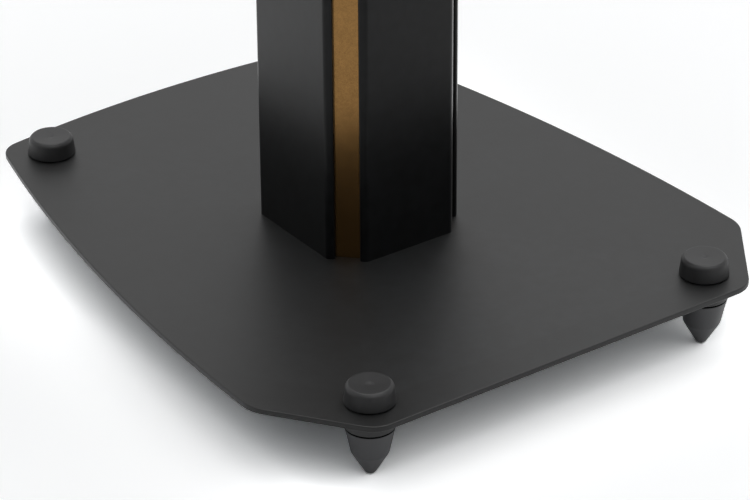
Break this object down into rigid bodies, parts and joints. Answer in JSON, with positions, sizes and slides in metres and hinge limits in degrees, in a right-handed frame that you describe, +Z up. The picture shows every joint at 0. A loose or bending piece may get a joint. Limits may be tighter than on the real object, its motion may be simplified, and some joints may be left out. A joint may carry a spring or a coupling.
{
  "type": "speaker stand",
  "caption": "Floor stand for a loudspeaker: flat black base on levelling spikes, clipped-corner pillar with bronze corner strips, flat top with pads.",
  "frame": {"origin": "on the floor under the middle of the base plate's box", "axes": "+Z up along the pillar, -Y towards the front (the straight edge with clipped corners), +X to the right seen from the front"},
  "size_m": [0.2974, 0.3504, 0.6],
  "materials": {
    "plate_black": "satin black powder coat on sheet steel",
    "pillar_black": "satin black powder coat on an extrusion",
    "strip_bronze": "bronze metallic lacquer, satin",
    "screw_black": "black oxide",
    "grommet_rubber": "moulded, matt",
    "pad_rubber": "moulded, matt",
    "cap_black": "moulded, satin",
    "washer_black": "moulded, matt",
    "ring_rubber": "moulded, matt",
    "cone_black": "satin dark grey coating on a turned spike",
    "stud_steel": "zinc plated thread"
  },
  "bodies": {
    "stand": {"base_plate": "plate_black", "pillar": "pillar_black", "corner_strip_front_left": "strip_bronze", "corner_strip_front_right": "strip_bronze", "corner_strip_rear_left": "strip_bronze", "corner_strip_rear_right": "strip_bronze", "top_plate": "plate_black", "base_screws": "screw_black", "top_screws": "screw_black", "cable_grommet_lower": "grommet_rubber", "cable_grommet_upper": "grommet_rubber", "speaker_pad_front_left": "pad_rubber", "speaker_pad_front_right": "pad_rubber", "speaker_pad_rear_left": "pad_rubber", "speaker_pad_rear_right": "pad_rubber", "foot_cap_front_left": "cap_black", "foot_washer_front_left": "washer_black", "foot_collar_front_left": "plate_black", "foot_stud_front_left": "stud_steel", "foot_cap_front_right": "cap_black", "foot_washer_front_right": "washer_black", "foot_collar_front_right": "plate_black", "foot_stud_front_right": "stud_steel", "foot_cap_rear_left": "cap_black", "foot_washer_rear_left": "washer_black", "foot_collar_rear_left": "plate_black", "foot_stud_rear_left": "stud_steel", "foot_cap_rear_right": "cap_black", "foot_washer_rear_right": "washer_black", "foot_collar_rear_right": "plate_black", "foot_stud_rear_right": "stud_steel"},
    "ring_front_left": {"foot_ring_front_left": "ring_rubber"},
    "spike_front_left": {"foot_cone_front_left": "cone_black"},
    "ring_front_right": {"foot_ring_front_right": "ring_rubber"},
    "spike_front_right": {"foot_cone_front_right": "cone_black"},
    "ring_rear_left": {"foot_ring_rear_left": "ring_rubber"},
    "spike_rear_left": {"foot_cone_rear_left": "cone_black"},
    "ring_rear_right": {"foot_ring_rear_right": "ring_rubber"},
    "spike_rear_right": {"foot_cone_rear_right": "cone_black"}
  },
  "joints": [
    {"name": "foot_drop_front_left", "type": "slide", "parent": "stand", "child": "ring_front_left", "axis": [0, 0, -1], "range_m": [0, 0.01]},
    {"name": "foot_turn_front_left", "type": "hinge", "parent": "ring_front_left", "child": "spike_front_left", "pos_m": [-0.1009, -0.1533, 0.013], "axis": [0, 0, -1], "range_deg": [0, 2880]},
    {"name": "foot_drop_front_right", "type": "slide", "parent": "stand", "child": "ring_front_right", "axis": [0, 0, -1], "range_m": [0, 0.01]},
    {"name": "foot_turn_front_right", "type": "hinge", "parent": "ring_front_right", "child": "spike_front_right", "pos_m": [0.1009, -0.1533, 0.013], "axis": [0, 0, -1], "range_deg": [0, 2880]},
    {"name": "foot_drop_rear_left", "type": "slide", "parent": "stand", "child": "ring_rear_left", "axis": [0, 0, -1], "range_m": [0, 0.01]},
    {"name": "foot_turn_rear_left", "type": "hinge", "parent": "ring_rear_left", "child": "spike_rear_left", "pos_m": [-0.09128, 0.1465, 0.013], "axis": [0, 0, -1], "range_deg": [0, 2880]},
    {"name": "foot_drop_rear_right", "type": "slide", "parent": "stand", "child": "ring_rear_right", "axis": [0, 0, -1], "range_m": [0, 0.01]},
    {"name": "foot_turn_rear_right", "type": "hinge", "parent": "ring_rear_right", "child": "spike_rear_right", "pos_m": [0.09128, 0.1465, 0.013], "axis": [0, 0, -1], "range_deg": [0, 2880]}
  ],
  "couplings": [
    {"joint": "foot_turn_front_left", "follows": "foot_drop_front_left", "rad_per_m": 5026.5},
    {"joint": "foot_turn_front_right", "follows": "foot_drop_front_right", "rad_per_m": 5026.5},
    {"joint": "foot_turn_rear_left", "follows": "foot_drop_rear_left", "rad_per_m": 5026.5},
    {"joint": "foot_turn_rear_right", "follows": "foot_drop_rear_right", "rad_per_m": 5026.5}
  ]
}
